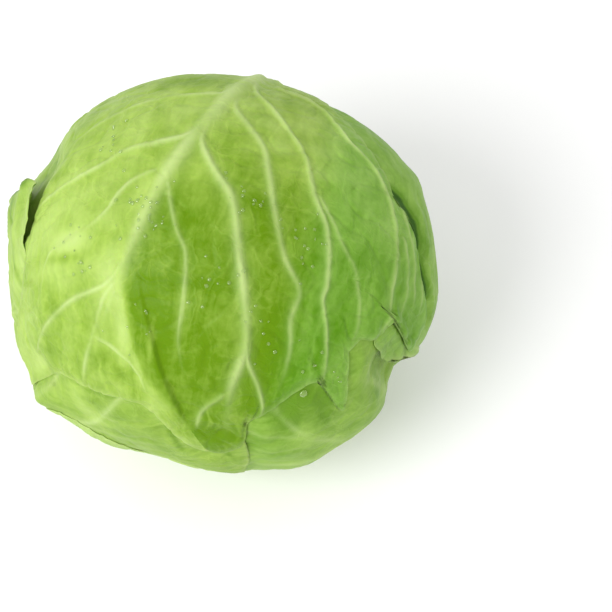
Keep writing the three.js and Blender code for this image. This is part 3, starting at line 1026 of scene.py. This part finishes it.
class CabbageStudio(bpy.types.PropertyGroup):
    azimuth: FloatProperty(
        name="Camera azimuth", description="Turn of the camera round the head",
        default=math.radians(12), subtype="ANGLE")
    elevation: FloatProperty(
        name="Camera elevation", description="Height of the camera above the horizon",
        default=math.radians(60), subtype="ANGLE")
    distance: FloatProperty(
        name="Camera distance", description="From the camera to the plane through the head's centre",
        default=0.6953, unit="LENGTH")
    lens: FloatProperty(
        name="Lens", description="Focal length in millimetres", default=100.0)
    aim_right: FloatProperty(
        name="Aim to the right", description="How far the view's middle lies right of the head's centre",
        default=34.36 * MM, unit="LENGTH")
    aim_down: FloatProperty(
        name="Aim below", description="How far the view's middle lies below the head's centre",
        default=12.68 * MM, unit="LENGTH")
    key_power: FloatProperty(
        name="Key light", description="Power of the soft key light", default=15.5, subtype="POWER")
    sky: FloatProperty(
        name="Room light", description="Strength of the even light all round", default=0.95)
    floor: FloatVectorProperty(
        name="Floor", description="Colour of the floor", subtype="COLOR", default=(0.9, 0.9, 0.9))


# Operators.

def sizes():
    return bpy.context.scene.cabbage_sizes


def colours():
    return bpy.context.scene.cabbage_colours


class LeafColours:
    """The colours as plain tuples, shifted for one kind of leaf."""

    def __init__(self, source, lighten=0.0, net=1.0):
        for key in ("pale", "deep", "pale_cool", "deep_cool", "vein", "stem", "worn"):
            colour = tuple(getattr(source, key))
            setattr(self, key, tuple(c + (v - c) * lighten for c, v in zip(colour, source.vein)))
        self.net = source.net * net


class CABBAGE_OT_heart(bpy.types.Operator):
    """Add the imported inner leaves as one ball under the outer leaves"""

    bl_idname = "cabbage.heart"
    bl_label = "Heart"

    CLEARANCE = 1.2  # millimetres between the heart and the innermost leaf

    def execute(self, context):
        bm = bmesh.new()
        bmesh.ops.create_uvsphere(bm, u_segments=96, v_segments=64, radius=1.0)
        mesh = finished_mesh(bm, "heart")
        d = read_points(mesh)
        d /= np.linalg.norm(d, axis=1)[:, None]
        sunk, _ = depth_below(LEAVES, d, sizes())
        folds = 0.4 * ripples(d[:, 0] * 57, d[:, 2] * 57, 3, 20.0)
        write_points(mesh, place(d, head_surface(d) - sunk - self.CLEARANCE + np.minimum(folds, 0)))
        away = np.degrees(np.arccos(np.clip(d[:, 1], -1, 1)))
        write_attribute(mesh, "vein", np.exp(-((away / 25) ** 2)))
        write_attribute(mesh, "pale", 0.8 - 0.2 * smoothstep(away, 30, 120))
        write_attribute(mesh, "blue", np.full(len(d), 0.1))
        write_attribute(mesh, "rim", np.zeros(len(d)))
        write_uv(mesh, "leaf", d[loop_corners(mesh)][:, [0, 2]] * 0.3 + 0.5)
        material = leaf_material("heart_leaf", LeafColours(colours(), 0.35), 0.5)
        add_piece("heart_leaves", mesh, material, "heart_leaf", "heart")
        return {"FINISHED"}


class CABBAGE_OT_stem(bpy.types.Operator):
    """Add the cut stem, turned about the head's long axis"""

    bl_idname = "cabbage.stem"
    bl_label = "Cut stem"

    # Radius, and distance from the head's centre, from the middle of the cut face inwards.
    PROFILE = [
        (0, 78.2), (4, 78.4), (8, 78.1), (10.5, 78.5), (12, 78.9), (13.2, 78.6), (13.9, 77.4), (14, 74),
        (13.6, 69), (14, 64), (12, 56), (10, 50), (9, 49), (0, 49),
    ]

    def execute(self, context):
        line = smooth_line(self.PROFILE, 5)
        bm = bmesh.new()
        points = [bm.verts.new((r, 0, y)) for r, y in line]
        edges = [bm.edges.new(pair) for pair in zip(points, points[1:])]
        bmesh.ops.spin(
            bm, geom=points + edges, cent=(0, 0, 0), axis=(0, 0, 1), dvec=(0, 0, 0),
            angle=math.tau, steps=96, use_merge=True, use_duplicate=False)
        bmesh.ops.remove_doubles(bm, verts=bm.verts, dist=1e-4)
        bmesh.ops.recalc_face_normals(bm, faces=bm.faces)
        mesh = finished_mesh(bm, "stem")
        p = read_points(mesh)
        out = np.hypot(p[:, 0], p[:, 1])
        around = np.degrees(np.arctan2(p[:, 0], p[:, 1]))
        scars = 0.5 * np.sin(np.radians(around * 5)) + 0.3 * np.sin(np.radians(around * 13))
        side = smoothstep(out, 9, 13)
        grow = 1 - side * 0.03 * (1 + scars)
        face = smoothstep(p[:, 2], 77, 78)
        rough = 0.18 * ripples(p[:, 0], p[:, 1], 31, 3.2) + 0.15 * ripples(p[:, 0], p[:, 1], 32, 9.0)
        x, z, y = p[:, 0] * grow, p[:, 1] * grow, p[:, 2] + face * (rough - 0.25)
        write_points(mesh, CENTRE + np.column_stack([x, y, z]) * MM)
        write_attribute(mesh, "wear", smoothstep(out, 8, 14) * (0.35 + 0.65 * face))
        add_piece("cut_stem_end", mesh, stem_material(LeafColours(colours())), "cut_stem", "stem")
        return {"FINISHED"}


class CABBAGE_OT_leaves(bpy.types.Operator):
    """Wrap the eight outer leaves on the heart, inner to outer"""

    bl_idname = "cabbage.leaves"
    bl_label = "Outer leaves"

    def execute(self, context):
        materials = {
            "pale_leaf": leaf_material("pale_leaf", LeafColours(colours(), 0.15), 0.48),
            "outer_leaf": leaf_material("outer_leaf", LeafColours(colours(), 0.05, 0.8), 0.46),
            "top_leaf": leaf_material("top_leaf", LeafColours(colours(), 0.0, 0.8), 0.44),
        }
        for leaf in LEAVES:
            make_leaf(leaf, sizes(), materials[leaf.slot])
        return {"FINISHED"}


class CABBAGE_OT_dew(bpy.types.Operator):
    """Scatter small drops of water over the top leaf"""

    bl_idname = "cabbage.dew"
    bl_label = "Dew"

    # x, y, spread and number of the drops in each cluster on the top leaf.
    CLUSTERS = [
        (-9, 12, 9, 34), (-24, -10, 7, 10), (-32, 20, 8, 12), (11, 27, 5, 8), (14, 6, 8, 14),
        (34, 12, 9, 16), (24, 32, 12, 14), (-26, 27, 3, 6), (45, 40, 10, 8), (-8, 42, 10, 8),
    ]
    # x, y and size of the larger drops.
    LARGE = [(44.5, 52.5, 1.9), (70, 29, 1.1), (-26, -15, 0.9), (-12, 9, 1.1), (-20, -5, 0.9)]
    FLATNESS = 0.55  # height of a drop against its radius
    RISE = 0.1  # how far its middle stands off the leaf, against its radius
    SEED = 7

    def execute(self, context):
        rng = random.Random(self.SEED)
        drops = [(x, y, size) for x, y, size in self.LARGE]
        for cx, cy, spread, count in self.CLUSTERS:
            for _ in range(count):
                drops.append((rng.gauss(cx, spread / 2), rng.gauss(cy, spread / 2), rng.uniform(0.45, 1.0)))
        x, y, size = np.array(drops).T
        d, outer, *_ = leaf_surface(LEAVES[-1], x, y, sizes())
        bm = bmesh.new()
        for centre, up, scale in zip(place(d, outer), d, size * sizes().drop_radius):
            turned = Vector(up).to_track_quat("Z", "Y").to_matrix().to_4x4()
            shape = Matrix.Diagonal((scale, scale, self.FLATNESS * scale, 1.0))
            where = Matrix.Translation(Vector(centre + self.RISE * scale * up))
            bmesh.ops.create_uvsphere(
                bm, u_segments=10, v_segments=6, radius=1.0, matrix=where @ turned @ shape)
        mesh = finished_mesh(bm, "dew")
        mesh.shade_smooth()
        add_piece("dew_drops", mesh, water_material(), "dew")
        return {"FINISHED"}


class CABBAGE_OT_studio(bpy.types.Operator):
    """Set up the floor, the light and the camera"""

    bl_idname = "cabbage.studio"
    bl_label = "Studio"

    FLOOR_HALF = 3.0  # half the floor's width
    FLOOR_DROP = 0.1 * MM  # how far the floor lies under the head
    LAMP_AZIMUTH = math.radians(236)
    LAMP_ELEVATION = math.radians(45)
    LAMP_DISTANCE = 1.5
    LAMP_SIZE = 0.8
    WHITE = (1.0, 1.0, 1.0, 1.0)

    def execute(self, context):
        studio = context.scene.cabbage_studio
        self.add_floor(studio)
        self.add_light(studio)
        self.add_camera(context, studio)
        context.scene.view_settings.view_transform = "Standard"
        return {"FINISHED"}

    def add_floor(self, studio):
        bm = bmesh.new()
        bmesh.ops.create_grid(bm, x_segments=1, y_segments=1, size=self.FLOOR_HALF)
        bmesh.ops.translate(bm, verts=bm.verts, vec=(0, 0, -self.FLOOR_DROP))
        mesh = finished_mesh(bm, "floor")
        mesh.materials.append(floor_material(studio.floor))
        floor = bpy.data.objects.new("floor", mesh)
        bpy.context.scene.collection.objects.link(floor)

    def add_light(self, studio):
        lamp = bpy.data.lights.new("key", "AREA")
        lamp.shape = "DISK"
        lamp.size = self.LAMP_SIZE
        lamp.energy = studio.key_power
        key = bpy.data.objects.new("key", lamp)
        toward = Vector((
            math.cos(self.LAMP_ELEVATION) * math.cos(self.LAMP_AZIMUTH),
            math.cos(self.LAMP_ELEVATION) * math.sin(self.LAMP_AZIMUTH),
            math.sin(self.LAMP_ELEVATION),
        ))
        key.location = Vector(CENTRE) + self.LAMP_DISTANCE * toward
        key.rotation_euler = toward.to_track_quat("Z", "Y").to_euler()
        bpy.context.scene.collection.objects.link(key)
        world = bpy.data.worlds.new("room")
        world.use_nodes = True
        sky = world.node_tree.nodes["Background"]
        sky.inputs["Color"].default_value = self.WHITE
        sky.inputs["Strength"].default_value = studio.sky
        bpy.context.scene.world = world

    def add_camera(self, context, studio):
        tilted = Matrix.Rotation(math.pi / 2 - studio.elevation, 4, "X")
        turned = Matrix.Rotation(studio.azimuth, 4, "Z") @ tilted
        data = bpy.data.cameras.new("camera")
        data.lens = studio.lens
        data.clip_end = 20.0
        camera = bpy.data.objects.new("camera", data)
        aim = Vector((studio.aim_right, -studio.aim_down, studio.distance))
        camera.matrix_world = Matrix.Translation(Vector(CENTRE) + turned.to_3x3() @ aim) @ turned
        context.scene.collection.objects.link(camera)
        context.scene.camera = camera


class CABBAGE_PT_panel(bpy.types.Panel):
    """Lists the pieces of the cabbage and their settings"""

    bl_label = "White Cabbage"
    bl_idname = "CABBAGE_PT_panel"
    bl_space_type = "VIEW_3D"
    bl_region_type = "UI"
    bl_category = "Cabbage"

    def draw(self, context):
        layout = self.layout
        for operator in PIECES:
            layout.operator(operator.bl_idname)
        for name in SETTINGS:
            group = getattr(context.scene, name)
            box = layout.box()
            for key in group.__annotations__:
                box.prop(group, key)


PIECES = (CABBAGE_OT_heart, CABBAGE_OT_stem, CABBAGE_OT_leaves, CABBAGE_OT_dew, CABBAGE_OT_studio)
SETTINGS = {
    "cabbage_sizes": CabbageSizes,
    "cabbage_colours": CabbageColours,
    "cabbage_studio": CabbageStudio,
}


def register():
    for name, group in SETTINGS.items():
        bpy.utils.register_class(group)
        setattr(bpy.types.Scene, name, PointerProperty(type=group))
    for item in (*PIECES, CABBAGE_PT_panel):
        bpy.utils.register_class(item)


def unregister():
    for item in (CABBAGE_PT_panel, *reversed(PIECES)):
        bpy.utils.unregister_class(item)
    for name, group in SETTINGS.items():
        delattr(bpy.types.Scene, name)
        bpy.utils.unregister_class(group)


def main():
    register()
    bpy.ops.cabbage.heart()
    bpy.ops.cabbage.stem()
    bpy.ops.cabbage.leaves()
    bpy.ops.cabbage.dew()
    bpy.ops.cabbage.studio()


if __name__ == "__main__":
    main()
